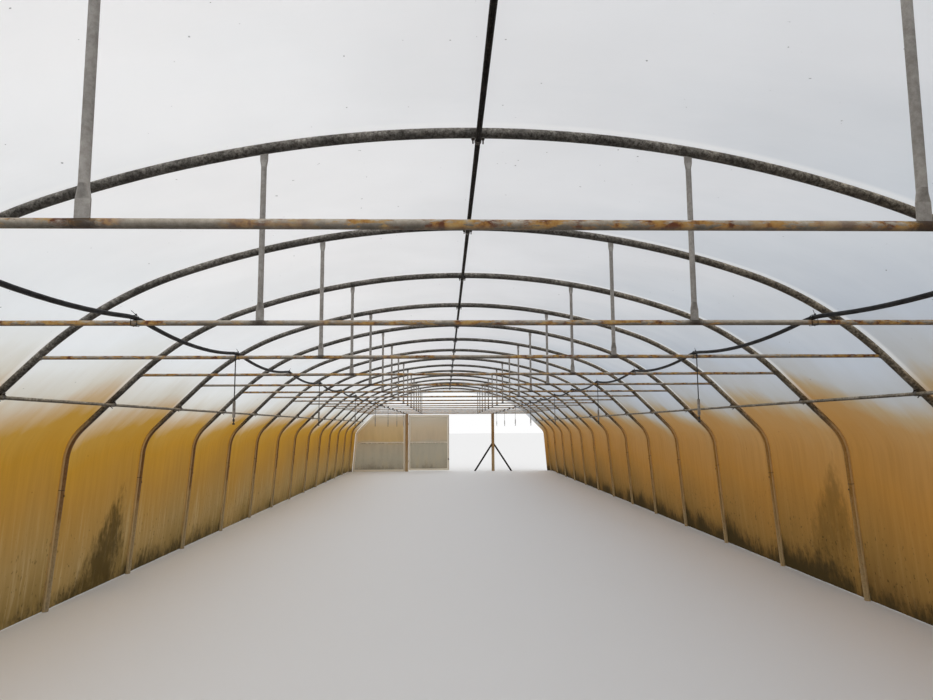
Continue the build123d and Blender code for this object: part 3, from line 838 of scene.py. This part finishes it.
# Bolts of the saddle clamps: a nut under each ear and the thread's end below it
PURLIN_RADIUS = 0.0125
STRAP = 0.003
SEAT_GAP = 0.0003
EAR_HALF = 0.0075
EAR_MIDDLE = PURLIN_RADIUS + SEAT_GAP + STRAP + EAR_HALF
NUT = 0.0065
THREAD_RADIUS = 0.0034
bolts = Parts()
side_low, side_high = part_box("side_purlin_right")
ridge_low, ridge_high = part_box("ridge_purlin")
slope_tangent = Vector((math.cos(SLOPE), 0, -math.sin(SLOPE)))
ridge_tangent = Vector((1, 0, 0))
ridge_middle = Vector(((ridge_low.x + ridge_high.x) / 2, 0, (ridge_low.z + ridge_high.z) / 2))
side_middle = Vector(((side_low.x + side_high.x) / 2, 0, (side_low.z + side_high.z) / 2))
seats = (
    (ridge_middle, ridge_tangent, 1),
    (side_middle, slope_tangent, 1),
    (side_middle, slope_tangent, -1),
)
for centre, tangent, side in seats:
    outward = Vector((-tangent.z, 0, tangent.x))
    for y in STATIONS:
        for ear in (-1, 1):
            seat = centre + tangent * ear * EAR_MIDDLE + outward * (PURLIN_RADIUS - STRAP)
            ends_at = (0.0, -NUT, -NUT - draw.uniform(0.012, 0.020))
            levels = [seat + outward * level for level in ends_at]
            levels = [Vector((side * p.x, y, p.z)) for p in levels]
            bolts.rod(levels[0], levels[1], NUT, 6)
            bolts.rod(levels[1], levels[2], THREAD_RADIUS, 8)
bolts.piece("clamp_bolts", dark_steel)


# Welds that hold the hangers' flared feet on the tie bars
FOOT_WELD_REACH = (0.013, 0.0185)
FOOT_WELD_RADII = (0.0026, 0.0012)
foot_weld_z = BAR_Z + BAR_RADIUS + 0.0012
feet = Parts()
for y in STATIONS:
    for side in (-1, 1):
        for along in (-1, 1):
            bead = [Vector((side * HANGER_X + along * reach, y, foot_weld_z)) for reach in FOOT_WELD_REACH]
            feet.rod(bead[0], bead[1], FOOT_WELD_RADII[0], 8, FOOT_WELD_RADII[1])
feet.piece("hanger_welds", weld_steel, smooth=True)


# Weld beads where the tie bars meet the hoops
BEADS = 14
BEAD_RADIUS = 0.0035
BEAD_HALF = Vector((0.004, 0, 0))
weld_ring = BAR_RADIUS + 0.001
welds = Parts()
for y in STATIONS:
    for side in (-1, 1):
        for turn in range(BEADS):
            angle = 2 * math.pi * turn / BEADS
            reach = bar_high.x - 0.010 - 0.011 * math.sin(angle)
            bead_y = y + weld_ring * math.cos(angle)
            bead = Vector((side * reach, bead_y, BAR_Z + weld_ring * math.sin(angle)))
            welds.rod(bead - BEAD_HALF, bead + BEAD_HALF, BEAD_RADIUS, 6)
welds.piece("bar_welds", weld_steel, smooth=True)


# Splice of each leg: a dark joint line and the screw that holds it
JOINT_LIFT = 0.0006
SCREW_HEAD = 0.0065
splices = Parts()
leg = Vector((-math.sin(LEAN), 0, math.cos(LEAN)))
leg_outward = Vector((math.cos(LEAN), 0, math.sin(LEAN)))
top_of_tube = Vector((FOOT_HALF_SPAN, 0, 0)) + leg * (SPLICE_HEIGHT / math.cos(LEAN))
joint = [top_of_tube - leg * 0.001, top_of_tube + leg * 0.004]
screw = [top_of_tube - leg * 0.045 - leg_outward * reach for reach in (0.0235, 0.030)]
for y in STATIONS:
    for side in (-1, 1):
        ring_points = [Vector((side * p.x, y, p.z)) for p in joint]
        screw_points = [Vector((side * p.x, y, p.z)) for p in screw]
        splices.rod(*ring_points, HOOP_RADIUS + JOINT_LIFT, 28)
        splices.rod(*screw_points, SCREW_HEAD, 6)
splices.piece("leg_splices", dark_steel)


# Ties that hold the water pipes down on the tie bars, each with a short tail
TIE_RADIUS = 0.0013
DIAGONAL = 0.7071
pipe_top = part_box("water_pipe_left")[1].z
loop = [
    (-0.0185, BAR_Z - 0.0135), (-0.0195, BAR_Z + 0.004), (-0.0160, pipe_top - 0.006),
    (-0.0080, pipe_top + 0.0012), (0.0080, pipe_top + 0.0012), (0.0160, pipe_top - 0.006),
    (0.0195, BAR_Z + 0.004), (0.0185, BAR_Z - 0.0135), (-0.0185, BAR_Z - 0.0135),
]
ties = Parts()
for y in STATIONS:
    for side in (-1, 1):
        x = side * PIPE_X
        for across in (-1, 1):
            along = Vector((DIAGONAL, DIAGONAL * across, 0))
            ties.cord([Vector((x, y, z)) + along * d for d, z in loop], TIE_RADIUS)
        lean_out = draw.uniform(-0.012, 0.012)
        knot = Vector((x + 0.006, y - 0.006, pipe_top + 0.001))
        ties.rod(knot, knot + Vector((0, 0, 0.006)), 0.004, 8)
        bend = knot + Vector((lean_out, -0.004, 0.012))
        tip = knot + Vector((1.8 * lean_out, -0.008, 0.020))
        ties.cord([knot, bend, tip], TIE_RADIUS)
ties.piece("pipe_ties", black_plastic)


# Screws at the braces, nails at the post heads and a wire loop on the side panel
SCREW_HEIGHTS = (0.89, 0.82)
NAIL_HEIGHTS = (1.90, 1.84)
HEAD_THICKNESS = 0.003
LOOP_HEIGHT = 1.29
LOOP_TURNS = 14
brace_face = END - 0.0275
post_face = END - 0.0475
loop_x = -hoop_x(LOOP_HEIGHT, -HOOP_RADIUS - HOOP_GAP - 0.030)
turns = [2 * math.pi * i / LOOP_TURNS for i in range(LOOP_TURNS + 1)]
ring = [(loop_x + 0.016 * math.cos(turn), LOOP_HEIGHT + 0.022 * math.sin(turn)) for turn in turns]
fixings = Parts()
for end, sign, _ in ENDS:
    for side in (-1, 1):
        screw_x = sign * (POST_X + side * 0.062)
        for z in SCREW_HEIGHTS:
            fixings.rod((screw_x, sign * brace_face, z), (screw_x, sign * (brace_face - HEAD_THICKNESS), z),
                        0.006, 8)
        nail_x = sign * (POST_X * side + 0.02)
        for z in NAIL_HEIGHTS:
            fixings.rod((nail_x, sign * post_face, z), (nail_x, sign * (post_face - HEAD_THICKNESS), z),
                        0.005, 8)
    fixings.cord([Vector((sign * x, sign * (END - 0.015), z)) for x, z in ring], 0.0018)
fixings.piece("end_fixings", dark_steel)


# Stage: white world and a pale floor
world = bpy.data.worlds.new("world")
bpy.context.scene.world = world
world.use_nodes = True
world.node_tree.nodes["Background"].inputs["Color"].default_value = (1, 1, 1, 1)
world.node_tree.nodes["Background"].inputs["Strength"].default_value = 1.0

FLOOR_REACH = 150
FLOOR_Z = -0.002
floor_corners = [
    (x * FLOOR_REACH, y * FLOOR_REACH, FLOOR_Z)
    for x, y in ((-1, -1), (1, -1), (1, 1), (-1, 1))
]
floor_mesh = bpy.data.meshes.new("floor")
floor_mesh.from_pydata(floor_corners, [], [(0, 1, 2, 3)])
floor_material, _, floor_shader = new_material("floor")
floor_shader.inputs["Base Color"].default_value = (0.86, 0.86, 0.86, 1)
floor_shader.inputs["Roughness"].default_value = 0.9
floor_mesh.materials.append(floor_material)
floor = bpy.data.objects.new("floor", floor_mesh)
bpy.context.collection.objects.link(floor)


# Camera in the near doorway, looking along the tunnel
YAW = math.radians(1.77)
PITCH = math.radians(6.365)
ROLL = math.radians(0.32)
CAMERA_PLACE = (-0.152, -END - 0.040, 1.505)
ahead = Vector((math.sin(YAW) * math.cos(PITCH), math.cos(YAW) * math.cos(PITCH), math.sin(PITCH)))
level_right = Vector((math.cos(YAW), -math.sin(YAW), 0))
level_up = Vector((-math.sin(YAW) * math.sin(PITCH), -math.cos(YAW) * math.sin(PITCH), math.cos(PITCH)))
right = math.cos(ROLL) * level_right - math.sin(ROLL) * level_up
up = math.sin(ROLL) * level_right + math.cos(ROLL) * level_up
camera_data = bpy.data.cameras.new("camera")
camera_data.sensor_width = 36.0
camera_data.lens = 26.62
camera_data.clip_start = 0.03
camera_data.clip_end = 500.0
camera = bpy.data.objects.new("camera", camera_data)
turned = Matrix((right, up, -ahead)).transposed().to_4x4()
camera.matrix_world = Matrix.Translation(CAMERA_PLACE) @ turned
bpy.context.collection.objects.link(camera)
scene = bpy.context.scene
scene.camera = camera
scene.view_settings.view_transform = "Standard"
